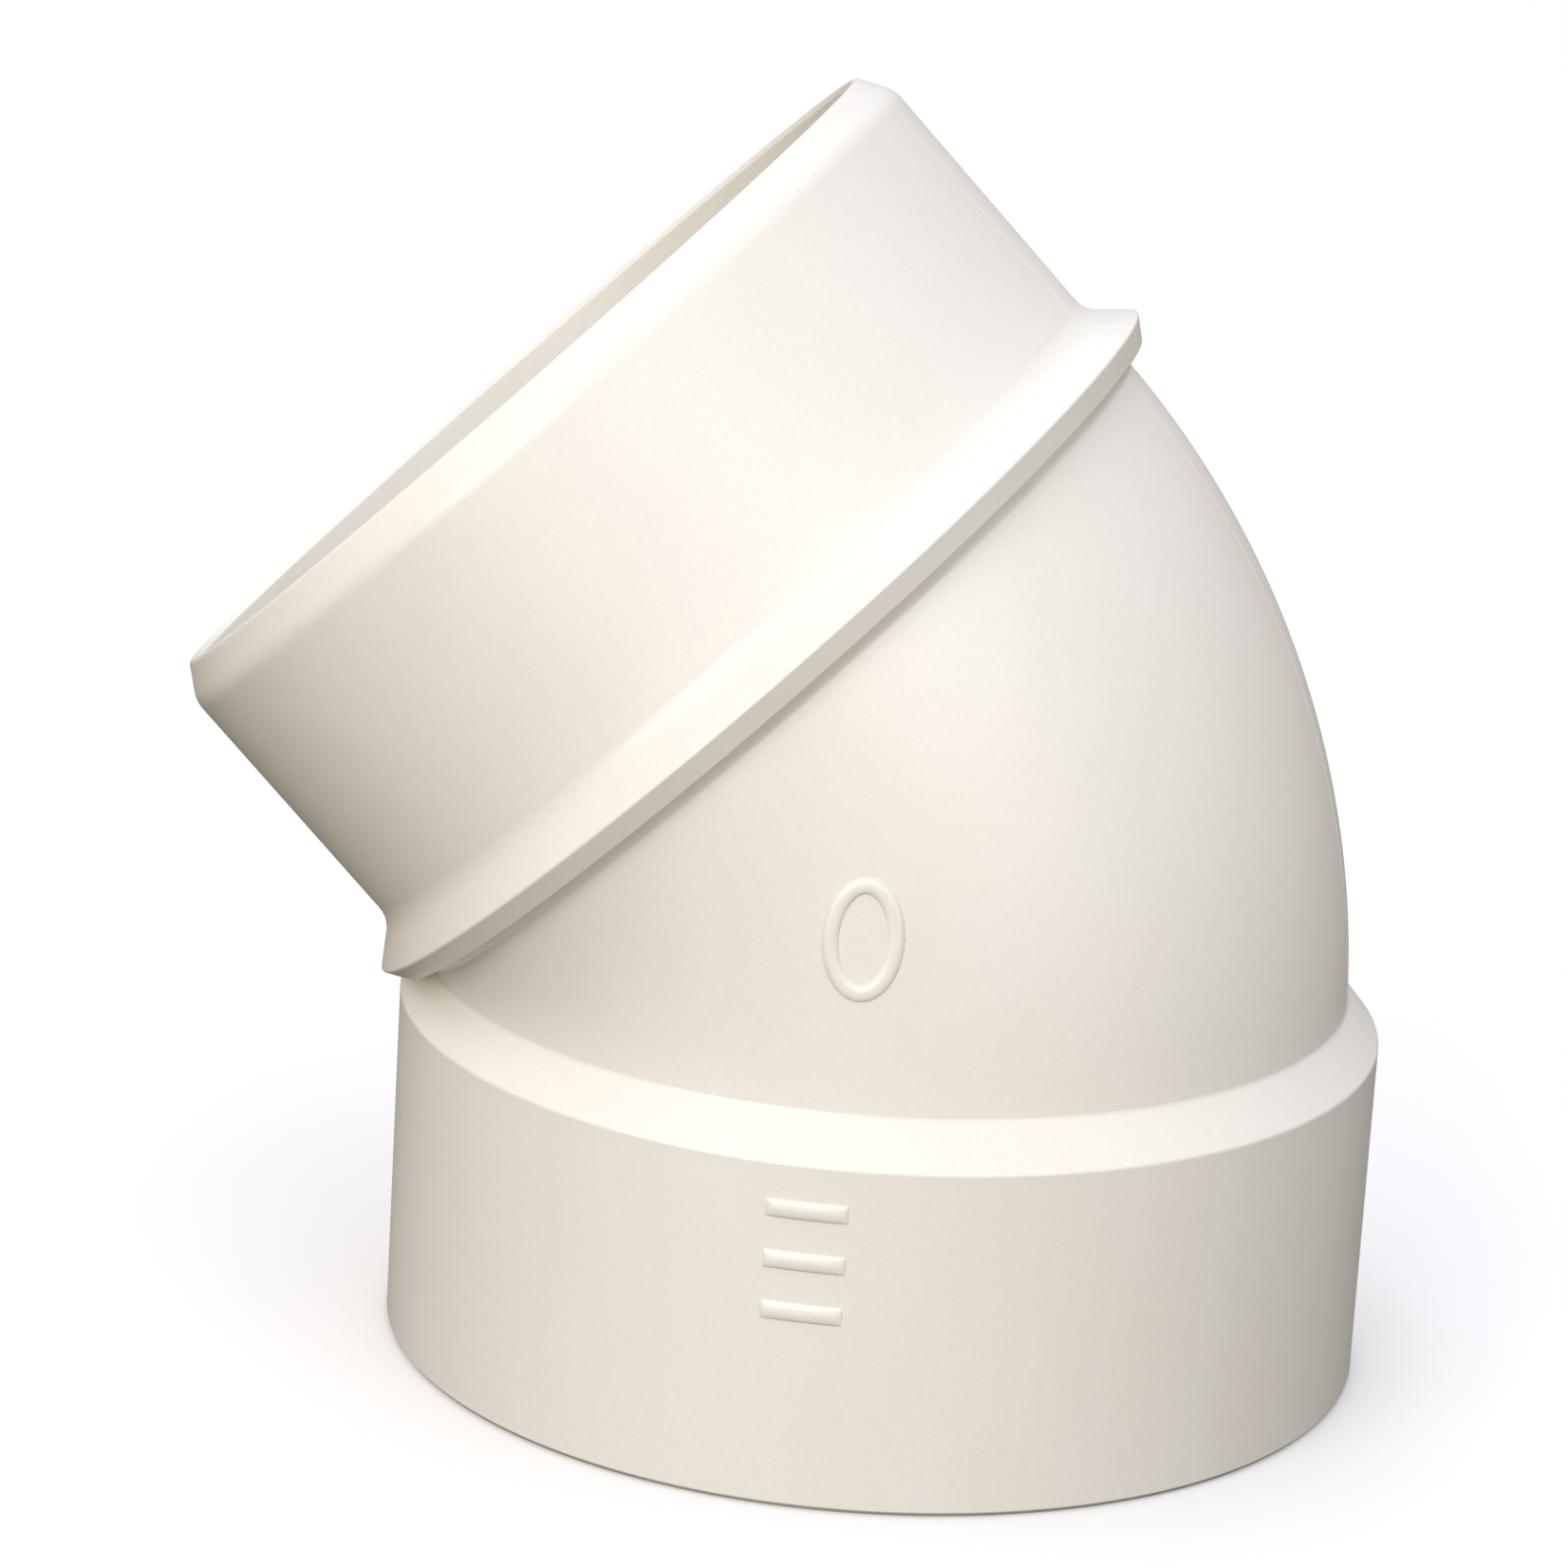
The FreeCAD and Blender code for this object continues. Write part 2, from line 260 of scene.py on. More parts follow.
# distance outside the bend and the spigot, below zero in the wall or the passage
def outsideTube(p):
    x, y, z = p[..., 0] + turnRadius, p[..., 1], p[..., 2] - turnStart
    turned = np.arctan2(z, x)
    onBend = np.hypot(np.hypot(x, z) - turnRadius, y)
    onRiser = np.hypot(x - turnRadius, y)
    fromFoot = p - spigotFoot
    onSpigot = np.hypot(fromFoot @ heelSide, y)
    reach = np.where(z < 0, onRiser, np.where(turned > turnAngle, onSpigot, onBend))
    return reach - skin


# distance outside the socket with its sloping shoulder
def outsideSocket(p):
    out = np.hypot(p[..., 0], p[..., 1]) - socket["radius"]
    above = (out * slope + p[..., 2] - socket["shoulderFoot"]) / math.hypot(1, slope)
    return np.maximum(out, above)


# Geometry Nodes: a section turned about Z, and then, point by point, swung over by the
# bend. The section's points hold (radius, height, swing), the directions' hold
# (angle, mould line height, 0).
def makeTurnedWallTree():
    tree = bpy.data.node_groups.new("turnedWall", "GeometryNodeTree")
    for name, kind in (("Section", "NodeSocketObject"), ("Section points", "NodeSocketInt"),
                       ("Directions", "NodeSocketObject"), ("Direction count", "NodeSocketInt"),
                       ("Swing centre", "NodeSocketVector"), ("Outside from", "NodeSocketFloat"),
                       ("Finish", "NodeSocketMaterial")):
        tree.interface.new_socket(name, in_out="INPUT", socket_type=kind)
    tree.interface.new_socket("Geometry", in_out="OUTPUT", socket_type="NodeSocketGeometry")
    given = addNode(tree, "NodeGroupInput").outputs
    rows = addNode(tree, "ShaderNodeMath", {0: given["Direction count"], 1: 1.0}, operation="ADD")
    columns = addNode(tree, "ShaderNodeMath", {0: given["Section points"], 1: 1.0}, operation="ADD")
    grid = addNode(tree, "GeometryNodeMeshGrid", {
        "Size X": 1.0, "Size Y": 1.0, "Vertices X": rows.outputs[0], "Vertices Y": columns.outputs[0]})
    index = addNode(tree, "GeometryNodeInputIndex").outputs["Index"]
    across = addNode(tree, "ShaderNodeMath", {0: index, 1: columns.outputs[0]}, operation="MODULO")
    sectionIndex = addNode(tree, "ShaderNodeMath", {
        0: across.outputs[0], 1: given["Section points"]}, operation="MODULO")
    row = addNode(tree, "ShaderNodeMath", {0: index, 1: columns.outputs[0]}, operation="DIVIDE")
    rowFloor = addNode(tree, "ShaderNodeMath", {0: row.outputs[0]}, operation="FLOOR")
    directionIndex = addNode(tree, "ShaderNodeMath", {
        0: rowFloor.outputs[0], 1: given["Direction count"]}, operation="MODULO")
    spot = addNode(tree, "GeometryNodeInputPosition").outputs["Position"]
    sectionInfo = addNode(tree, "GeometryNodeObjectInfo", {"Object": given["Section"]})
    directionInfo = addNode(tree, "GeometryNodeObjectInfo", {"Object": given["Directions"]})
    sectionPoint = addNode(tree, "GeometryNodeSampleIndex", {
        "Geometry": sectionInfo.outputs["Geometry"], "Index": sectionIndex.outputs[0]},
        data_type="FLOAT_VECTOR", domain="POINT")
    directionPoint = addNode(tree, "GeometryNodeSampleIndex", {
        "Geometry": directionInfo.outputs["Geometry"], "Index": directionIndex.outputs[0]},
        data_type="FLOAT_VECTOR", domain="POINT")
    for sampled in (sectionPoint, directionPoint):
        tree.links.new(spot, sampled.inputs["Value"])
    section = addNode(tree, "ShaderNodeSeparateXYZ", {"Vector": sectionPoint.outputs["Value"]}).outputs
    direction = addNode(tree, "ShaderNodeSeparateXYZ", {"Vector": directionPoint.outputs["Value"]}).outputs
    outside = addNode(tree, "ShaderNodeMath", {0: section["X"], 1: given["Outside from"]}, operation="GREATER_THAN")
    radius = addNode(tree, "ShaderNodeMath", {
        0: outside.outputs[0], 1: direction["Y"], 2: section["X"]}, operation="MULTIPLY_ADD")
    flat = addNode(tree, "ShaderNodeCombineXYZ", {"X": radius.outputs[0], "Z": section["Y"]})
    turned = addNode(tree, "ShaderNodeVectorRotate", {
        "Vector": flat.outputs[0], "Angle": direction["X"]}, rotation_type="Z_AXIS")
    swing = addNode(tree, "ShaderNodeMath", {0: section["Z"], 1: -1.0}, operation="MULTIPLY")
    swung = addNode(tree, "ShaderNodeVectorRotate", {
        "Vector": turned.outputs[0], "Center": given["Swing centre"], "Angle": swing.outputs[0]},
        rotation_type="Y_AXIS")
    shaped = addNode(tree, "GeometryNodeSetPosition", {
        "Geometry": grid.outputs["Mesh"], "Position": swung.outputs[0]})
    closed = addNode(tree, "GeometryNodeMergeByDistance", {
        "Geometry": shaped.outputs["Geometry"], "Distance": 1e-6})
    real = addNode(tree, "GeometryNodeRealizeInstances", {"Geometry": closed.outputs["Geometry"]})
    finished = addNode(tree, "GeometryNodeSetMaterial", {
        "Geometry": real.outputs["Geometry"], "Material": given["Finish"]})
    addNode(tree, "NodeGroupOutput", {"Geometry": finished.outputs["Geometry"]})
    return tree


turnedWall = makeTurnedWallTree()


# runs a tree with its inputs set and keeps the result as a plain mesh
def bakeTree(name, tree, inputs):
    maker = bpy.data.objects.new(name + "Maker", bpy.data.meshes.new(name + "Maker"))
    bpy.context.scene.collection.objects.link(maker)
    modifier = maker.modifiers.new("maker", "NODES")
    modifier.node_group = tree
    sockets = {s.name: s.identifier for s in tree.interface.items_tree if s.in_out == "INPUT"}
    for key, value in inputs.items():
        modifier[sockets[key]] = value
    graph = bpy.context.evaluated_depsgraph_get()
    mesh = bpy.data.meshes.new_from_object(maker.evaluated_get(graph), depsgraph=graph)
    bpy.data.objects.remove(maker)
    piece = bpy.data.objects.new(name, mesh)
    bpy.context.scene.collection.objects.link(piece)
    return piece


def pointHolder(name, points):
    holder = bpy.data.objects.new(name, meshFrom(name, points))
    bpy.context.scene.collection.objects.link(holder)
    return holder


directionHolder = pointHolder("directionHolder", np.stack([directions, flash * mm, 0 * directions], 1))


def turnWall(name, section):
    holder = pointHolder(name + "Section", section * [mm, mm, 1.0])
    piece = bakeTree(name, turnedWall, {
        "Section": holder, "Section points": len(section), "Directions": directionHolder,
        "Direction count": len(directions), "Swing centre": (-turnRadius * mm, 0.0, turnStart * mm),
        "Outside from": (skin - 0.3) * mm, "Finish": pvc})
    bpy.data.objects.remove(holder)
    return piece


# (radius, height) corners with arcs, all at one swing
def straightSection(corners, height=0.0, swing=0.0):
    run = roundedRun(corners)
    return np.column_stack([run[:, 0], run[:, 1] + height, np.full(len(run), swing)])


socketSleeve = {
    "top": 42.4,            # where it runs on into the shoulder
    "mouthBevel": (0.6, 0.6),
    "leadIn": (0.6, 1.0),
    "edgeRadius": 0.28,
}


def makeSocketSleeve(values):
    outer, bore, soft = socket["radius"], socket["bore"], values["edgeRadius"]
    section = straightSection([
        (outer, values["top"], 0), (bore, values["top"], 0),
        (bore, values["leadIn"][1], 0.6), (bore + values["leadIn"][0], 0, soft),
        (outer - values["mouthBevel"][0], 0, soft), (outer, values["mouthBevel"][1], soft)])
    return turnWall("socketSleeve", section)


sleeve = makeSocketSleeve(socketSleeve)
finishPiece(sleeve, "socket_sleeve")

spigotTube = {
    "from": 10.2,           # mm along the spigot, clear of the collar's fillet
    "length": 47.8,
    "bevel": (2.6, 4.2),
    "innerBevel": 0.6,
    "bevelRadii": (4.0, 0.75),   # the moulded rim is rolled over softly
}


def makeSpigotTube(values):
    end, (wide, tight) = values["length"], values["bevelRadii"]
    section = straightSection([
        (skin, values["from"], 0), (skin, end - values["bevel"][1], wide), (skin - values["bevel"][0], end, tight),
        (passage + values["innerBevel"], end, 0.2), (passage, end - values["innerBevel"], 0.25),
        (passage, values["from"], 0)], turnStart, turnAngle)
    return turnWall("spigotTube", section)


tube = makeSpigotTube(spigotTube)
finishPiece(tube, "spigot_tube")

bendShell = {"steps": 60}


def makeBendShell(values):
    swings = np.linspace(0, turnAngle, values["steps"] + 1)
    up = [(skin, turnStart, s) for s in swings]
    down = [(passage, turnStart, s) for s in swings[::-1]]
    return turnWall("bendShell", np.array(up + down))


bend = makeBendShell(bendShell)
finishPiece(bend, "bend_shell")
print("turned walls made")


# from the end of one run to the start of another, rounded like a fillet
def fillet(start, corner, end, steps):
    t = np.linspace(0, 1, steps)[None, :, None]
    return start[:, None] * (1 - t) ** 2 + corner[:, None] * 2 * t * (1 - t) + end[:, None] * t ** 2


def skinPiece(name, points, faces):
    mesh = meshFrom(name, points * mm, faces)
    mesh.materials.append(pvc)
    piece = bpy.data.objects.new(name, mesh)
    bpy.context.scene.collection.objects.link(piece)
    return piece


socketShoulder = {
    "bottom": 42.4,
    "edgeRadius": 0.7,
    "filletLength": 0.45,
    "slopeSteps": 10,
    "sunk": 0.25,           # how far its hidden side lies inside the bend's wall
    "ledgeRadius": 0.3,
    "dip": 0.012,           # the fold's end lies this far under the skin, so no gap shows
}


def makeSocketShoulder(values):
    outer, bore, foot = socket["radius"], socket["bore"], socket["shoulderFoot"]
    count = len(directions)

    def placed(rh):   # (radius, height) in each direction to x, y, z
        x, y = rh[..., 0] * np.cos(directions)[:, None], rh[..., 0] * np.sin(directions)[:, None]
        return np.stack([x, y, rh[..., 1]], -1)

    # where the slope runs into the bend or, at the throat, the spigot
    low, high = np.zeros(count), np.full(count, 1.3)
    for _ in range(40):
        middle = (low + high) / 2
        at = np.stack([outer - middle * socket["shoulderIn"], foot + middle * socket["shoulderUp"]], -1)
        clear = outsideTube(placed(at[:, None]))[:, 0] > 0
        low, high = np.where(clear, middle, low), np.where(clear, high, middle)
    meet = np.stack([outer - low * socket["shoulderIn"], foot + low * socket["shoulderUp"]], -1)
    down = unit(np.array([socket["shoulderIn"], -socket["shoulderUp"]]))
    start = meet + down * values["filletLength"]
    # a point on the skin a little higher up, found the same way along the radius
    above = meet[:, 1] + values["filletLength"]
    low, high = np.full(count, passage), np.full(count, outer + 3)
    for _ in range(40):
        middle = (low + high) / 2
        clear = outsideTube(placed(np.stack([middle, above], -1)[:, None]))[:, 0] > 0
        low, high = np.where(clear, low, middle), np.where(clear, middle, high)
    end = np.stack([low, above], -1)

    edge = roundedRun([(outer, values["bottom"], 0), (outer, foot, values["edgeRadius"]),
                       (outer - 1.2, foot + 1.2 * slope, 0)], closed=False)[:-1]
    edge = np.broadcast_to(edge, (count,) + edge.shape)
    share = np.linspace(0, 1, values["slopeSteps"] + 1)[None, 1:-1, None]
    run = edge[:, -1:] * (1 - share) + start[:, None] * share
    foldIn = fillet(start, meet, end - [values["dip"], 0], 7)
    sunk = end - [values["sunk"], 0]
    base = np.broadcast_to([skin - values["sunk"], turnStart], (count, 2))
    share = np.linspace(0, 1, 7)[None, :, None]
    hidden = sunk[:, None] * (1 - share) + base[:, None] * share
    ledge = roundedRun([(skin - values["sunk"] - 0.5, turnStart, 0), (passage, turnStart, 0),
                        (passage, socket["stop"], values["ledgeRadius"]), (bore, socket["stop"], values["ledgeRadius"]),
                        (bore, values["bottom"], 0)], closed=False)
    inner = np.broadcast_to(ledge, (count,) + ledge.shape)
    section = np.concatenate([edge, run, foldIn, hidden, inner], 1)
    outside = np.zeros(section.shape[:2])
    outside[:, :edge.shape[1] + run.shape[1] + foldIn.shape[1]] = 1
    section[..., 0] += flash[:, None] * outside * (section[..., 0] > skin + 0.3)
    return skinPiece("socketShoulder", placed(section).reshape(-1, 3), wrappedFaces(*section.shape[:2]))


shoulder = makeSocketShoulder(socketShoulder)
finishPiece(shoulder, "socket_shoulder")

stopCollar = {
    "edge": 62.05,          # radius of its rim
    "flareEnd": 7.8,        # mm along the spigot from where the bend ends
    "rimTop": 3.5,
    "rimFoot": 0.7,
    "undercut": 1.8,        # how far the rim leans in towards its foot
    "step": 3.5,            # in from the rim to the ramp
    "rampEnd": (56.75, -0.9),
    "top": 10.2,
    "filletRadius": 4.0,
    "rimRadius": 0.32,
    "footFillet": 0.7,
    "rampSteps": 10,
    "sunk": 0.3,
    "dip": 0.012,
}


def makeStopCollar(values):
    rim, count = values["edge"], len(directions)
    run = roundedRun([
        (skin, values["top"], 0), (skin, values["flareEnd"], values["filletRadius"]),
        (rim, values["rimTop"], values["rimRadius"]),
        (rim - values["undercut"], values["rimFoot"], values["rimRadius"]),
        (rim - values["step"], values["rimFoot"], 0.25), (*values["rampEnd"], 0)],
        closed=False, arcSteps=6, guard=0.1, longest=1.0)
    rampFrom = int(np.argmax((run[:, 1] < values["rimFoot"]) & (run[:, 0] < rim - values["step"])))
    shaped = run[:rampFrom + 1]
    ramp = values["rampEnd"] - shaped[-1]
    side = np.cos(directions)[:, None] * heelSide + np.sin(directions)[:, None] * [0, 1, 0]

    def placed(rl):   # (radius, along) in each direction to x, y, z
        return spigotFoot + rl[..., :1] * side[:, None] + rl[..., 1:] * spigotAxis

    def outside(rl):
        at = placed(rl)
        return np.minimum(outsideTube(at), outsideSocket(at))

    # first place where the section, followed from the top, goes into the bend or the socket
    fine = np.concatenate([shaped, shaped[-1] + ramp * np.linspace(0.01, 1.0, 400)[:, None]])
    gaps = outside(np.broadcast_to(fine, (count,) + fine.shape))
    gaps[:, :8] = 1
    entry = np.where((gaps < 0).any(1), np.argmax(gaps < 0, 1), len(fine) - 1)
    meet = fine[entry]
    share = np.clip(entry - len(shaped), 0, 400) / 400
    onRamp = entry > len(shaped)
    foldLength = np.minimum(values["footFillet"], 0.4 * share * np.linalg.norm(ramp))
    start = meet - unit(ramp) * foldLength[:, None]
    end = meet + unit(ramp) * foldLength[:, None]
    for _ in range(12):     # out to the skin, against the slope of the distance
        here = outside(end[:, None])[:, 0]
        dr = (outside((end + [1e-3, 0])[:, None])[:, 0] - here) / 1e-3
        dl = (outside((end + [0, 1e-3])[:, None])[:, 0] - here) / 1e-3
        end = end - (here / (dr ** 2 + dl ** 2 + 1e-9))[:, None] * np.stack([dr, dl], -1)
    end = end - values["dip"] * unit(np.stack([dr, dl], -1))
    sunkStart = end - values["sunk"] * unit(np.stack([dr, dl], -1) + 1e-9)
    base = np.array([skin - values["sunk"], 0.0])

    top = np.broadcast_to(shaped, (count,) + shaped.shape).copy()
    steps = np.linspace(0, 1, values["rampSteps"] + 1)[None, 1:, None]
    down = shaped[-1] * (1 - steps) + start[:, None] * steps
    foldOut = fillet(start, meet, end, 7)[:, 1:]
    steps = np.linspace(0, 1, 6)[None, :, None]
    hidden = sunkStart[:, None] * (1 - steps) + base * steps
    # at the throat the rim itself runs into the socket: what lies past there goes inside
    tail = np.concatenate([down, foldOut, hidden], 1)
    for i in np.flatnonzero(~onRamp):
        inside = fine[entry[i]] - [0.35, 0.0]
        lost = np.arange(len(shaped)) >= entry[i]
        total = lost.sum() + tail.shape[1]
        line = inside + (base - inside) * np.linspace(0, 1, total)[:, None]
        top[i, lost] = line[:lost.sum()]
        tail[i] = line[lost.sum():]
    close = roundedRun([(skin - values["sunk"] - 0.6, 0, 0), (passage, 0, 0),
                        (passage, values["top"], 0)], closed=False)
    inner = np.broadcast_to(close, (count,) + close.shape)
    section = np.concatenate([top, tail, inner], 1)
    isOutside = np.zeros(section.shape[:2])
    isOutside[:, :top.shape[1] + tail.shape[1]] = 1
    heelHalf = (np.cos(directions) > 0)[:, None]
    section[..., 0] += flash[:, None] * isOutside * heelHalf * (section[..., 0] > skin - 0.2)
    return skinPiece("stopCollar", placed(section).reshape(-1, 3), wrappedFaces(*section.shape[:2]))


collar = makeStopCollar(stopCollar)
finishPiece(collar, "stop_collar")
print("shoulder and collar made")


# Geometry Nodes: one low bar with a soft edge, laid round the socket. Its upper and lower
# skins are two grids that meet in the wall.
def makeRaisedBarTree():
    tree = bpy.data.node_groups.new("raisedBar", "GeometryNodeTree")
    for name, kind in (("Half width", "NodeSocketFloat"), ("Half thickness", "NodeSocketFloat"),
                       ("Height", "NodeSocketFloat"), ("Sunk", "NodeSocketFloat"), ("Edge", "NodeSocketFloat"),
                       ("Radius", "NodeSocketFloat"), ("Level", "NodeSocketFloat"), ("Finish", "NodeSocketMaterial")):
        tree.interface.new_socket(name, in_out="INPUT", socket_type=kind)
    tree.interface.new_socket("Geometry", in_out="OUTPUT", socket_type="NodeSocketGeometry")
    given = addNode(tree, "NodeGroupInput").outputs
    grid = addNode(tree, "GeometryNodeMeshGrid", {
        "Size X": math.pi, "Size Y": math.pi, "Vertices X": 41, "Vertices Y": 17}).outputs["Mesh"]
    spot = addNode(tree, "GeometryNodeInputPosition").outputs["Position"]
    # points crowd towards the edges, where the bar rounds over
    crowded = addNode(tree, "ShaderNodeVectorMath", {0: spot, 1: (0.5, 0.5, 0.5)}, operation="MULTIPLY")
    waved = addNode(tree, "ShaderNodeVectorMath", {0: crowded.outputs[0]}, operation="SINE")
    spread = addNode(tree, "ShaderNodeVectorMath", {
        0: waved.outputs[0], 1: (math.sqrt(2), math.sqrt(2), 0)}, operation="MULTIPLY")
    held = addNode(tree, "ShaderNodeVectorMath", {0: spread.outputs[0], 1: (-1, -1, 0)}, operation="MAXIMUM")
    share = addNode(tree, "ShaderNodeVectorMath", {0: held.outputs[0], 1: (1, 1, 0)}, operation="MINIMUM")
    half = addNode(tree, "ShaderNodeCombineXYZ", {"X": given["Half width"], "Y": given["Half thickness"]})
    laid = addNode(tree, "ShaderNodeVectorMath", {0: share.outputs[0], 1: half.outputs[0]}, operation="MULTIPLY")
    plain = addNode(tree, "ShaderNodeVectorMath", {0: laid.outputs[0]}, operation="ABSOLUTE")
    fromEdge = addNode(tree, "ShaderNodeVectorMath", {0: half.outputs[0], 1: plain.outputs[0]}, operation="SUBTRACT")
    gap = addNode(tree, "ShaderNodeSeparateXYZ", {"Vector": fromEdge.outputs[0]}).outputs
    product = addNode(tree, "ShaderNodeMath", {0: gap["X"], 1: gap["Y"]}, operation="MULTIPLY")
    total = addNode(tree, "ShaderNodeMath", {0: gap["X"], 1: gap["Y"]}, operation="ADD")
    total = addNode(tree, "ShaderNodeMath", {0: total.outputs[0], 1: 1e-7}, operation="ADD")
    inside = addNode(tree, "ShaderNodeMath", {0: product.outputs[0], 1: total.outputs[0]}, operation="DIVIDE")
    rise = addNode(tree, "ShaderNodeMath", {0: inside.outputs[0], 1: given["Edge"]}, operation="DIVIDE", use_clamp=True)
    left = addNode(tree, "ShaderNodeMath", {0: 1.0, 1: rise.outputs[0]}, operation="SUBTRACT")
    square = addNode(tree, "ShaderNodeMath", {0: left.outputs[0], 1: left.outputs[0]}, operation="MULTIPLY")
    under = addNode(tree, "ShaderNodeMath", {0: 1.0, 1: square.outputs[0]}, operation="SUBTRACT")
    rounded = addNode(tree, "ShaderNodeMath", {0: under.outputs[0]}, operation="SQRT")
    tall = addNode(tree, "ShaderNodeMath", {0: given["Height"], 1: given["Sunk"]}, operation="ADD")
    base = addNode(tree, "ShaderNodeMath", {0: given["Radius"], 1: given["Sunk"]}, operation="SUBTRACT")
    crown = addNode(tree, "ShaderNodeMath", {0: rounded.outputs[0], 1: tall.outputs[0], 2: base.outputs[0]},
                    operation="MULTIPLY_ADD")
    part = addNode(tree, "ShaderNodeSeparateXYZ", {"Vector": laid.outputs[0]}).outputs
    angle = addNode(tree, "ShaderNodeMath", {0: part["X"], 1: given["Radius"]}, operation="DIVIDE")
    level = addNode(tree, "ShaderNodeMath", {0: part["Y"], 1: given["Level"]}, operation="ADD")
    skins = []
    for reach in (crown, base):
        out = addNode(tree, "ShaderNodeMath", {0: reach.outputs[0], 1: -1.0}, operation="MULTIPLY")
        flat = addNode(tree, "ShaderNodeCombineXYZ", {"Y": out.outputs[0], "Z": level.outputs[0]})
        turned = addNode(tree, "ShaderNodeVectorRotate", {
            "Vector": flat.outputs[0], "Angle": angle.outputs[0]}, rotation_type="Z_AXIS")
        skins.append(addNode(tree, "GeometryNodeSetPosition", {"Geometry": grid, "Position": turned.outputs[0]}))
    turnedOver = addNode(tree, "GeometryNodeFlipFaces", {"Mesh": skins[1].outputs["Geometry"]})
    both = addNode(tree, "GeometryNodeJoinGeometry", {"Geometry": skins[0].outputs["Geometry"]})
    tree.links.new(turnedOver.outputs["Mesh"], both.inputs["Geometry"])
    closed = addNode(tree, "GeometryNodeMergeByDistance", {"Geometry": both.outputs["Geometry"], "Distance": 2e-6})
    real = addNode(tree, "GeometryNodeRealizeInstances", {"Geometry": closed.outputs["Geometry"]})
    finished = addNode(tree, "GeometryNodeSetMaterial", {
        "Geometry": real.outputs["Geometry"], "Material": given["Finish"]})
    addNode(tree, "NodeGroupOutput", {"Geometry": finished.outputs["Geometry"]})
    return tree


raisedBar = makeRaisedBarTree()
socketBars = {"width": 10.0, "thickness": 2.4, "height": 0.45, "sunk": 0.15, "edge": 0.95}
for number in (1, 2, 3):
    low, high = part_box("socket_bar_%d" % number)
    bar = bakeTree("socketBar%d" % number, raisedBar, {
        "Half width": socketBars["width"] / 2 * mm, "Half thickness": socketBars["thickness"] / 2 * mm,
        "Height": socketBars["height"] * mm, "Sunk": socketBars["sunk"] * mm, "Edge": socketBars["edge"] * mm,
        "Radius": socket["radius"] * mm, "Level": (low.z + high.z) / 2, "Finish": pvc})
    finishPiece(bar, "socket_bar_%d" % number)


# height of a low mark with a rounded edge, from the distance inside its outline
def softRise(inside, values):
    left = 1 - np.clip(inside / values["edge"], 0, 1)
    return (values["height"] + values["sunk"]) * np.sqrt(1 - left ** 2) - values["sunk"]


# points (sideways, up) laid on the bend's skin, in front (-1) or behind (1), and raised
def onBend(sideways, up, height, face):
    fromAxis = np.stack([sideways + turnRadius, 0 * up, up - turnStart], -1)
    reach = np.linalg.norm(fromAxis, axis=-1)
    across = reach - turnRadius
    y = face * np.sqrt(skin ** 2 - across ** 2)
    away = (fromAxis / reach[..., None] * across[..., None] + np.stack([0 * y, y, 0 * y], -1)) / skin
    return np.stack([sideways, y, up], -1) + away * height[..., None]


bendOval = {"width": 9.6, "tall": 15.0, "line": 2.0, "height": 0.45, "sunk": 0.15, "edge": 0.85, "steps": 128}


def makeBendOval(values):
    low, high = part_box("bend_oval")
    centre = np.array([(low.x + high.x) / 2, (low.z + high.z) / 2]) / mm
    half = values["line"] / 2
    a, b = values["width"] / 2 - half, values["tall"] / 2 - half
    turn = np.linspace(0, 2 * math.pi, values["steps"], endpoint=False)[:, None]
    away = unit(np.concatenate([np.cos(turn) / a, np.sin(turn) / b], 1))
    over = np.sin(np.linspace(-1, 1, 19) * math.pi / 2)
    back = np.linspace(1, -1, 5)[1:-1]
    share = np.concatenate([over, back])
    height = np.concatenate([softRise((1 - np.abs(over)) * half, values), np.full(len(back), -values["sunk"])])
    line = np.concatenate([a * np.cos(turn), b * np.sin(turn)], 1)[:, None]
    flat = line + away[:, None] * (share * half)[None, :, None]
    points = onBend(flat[..., 0] + centre[0], flat[..., 1] + centre[1],
                    np.broadcast_to(height, flat.shape[:2]), -1)
    return skinPiece("bendOval", points.reshape(-1, 3), wrappedFaces(*points.shape[:2]))


finishPiece(makeBendOval(bendOval), "bend_oval")

# the round pad where the plastic came in, with the rough stub that stays when it is cut off
gateStub = {
    "radius": 3.5,
    "height": 0.26,
    "sunk": 0.15,
    "edge": 0.5,
    "stubRadius": 1.25,
    "stubHeight": 0.18,
    "tear": 0.05,           # unevenness where it was cut off
    "rings": 22,
    "steps": 72,
}


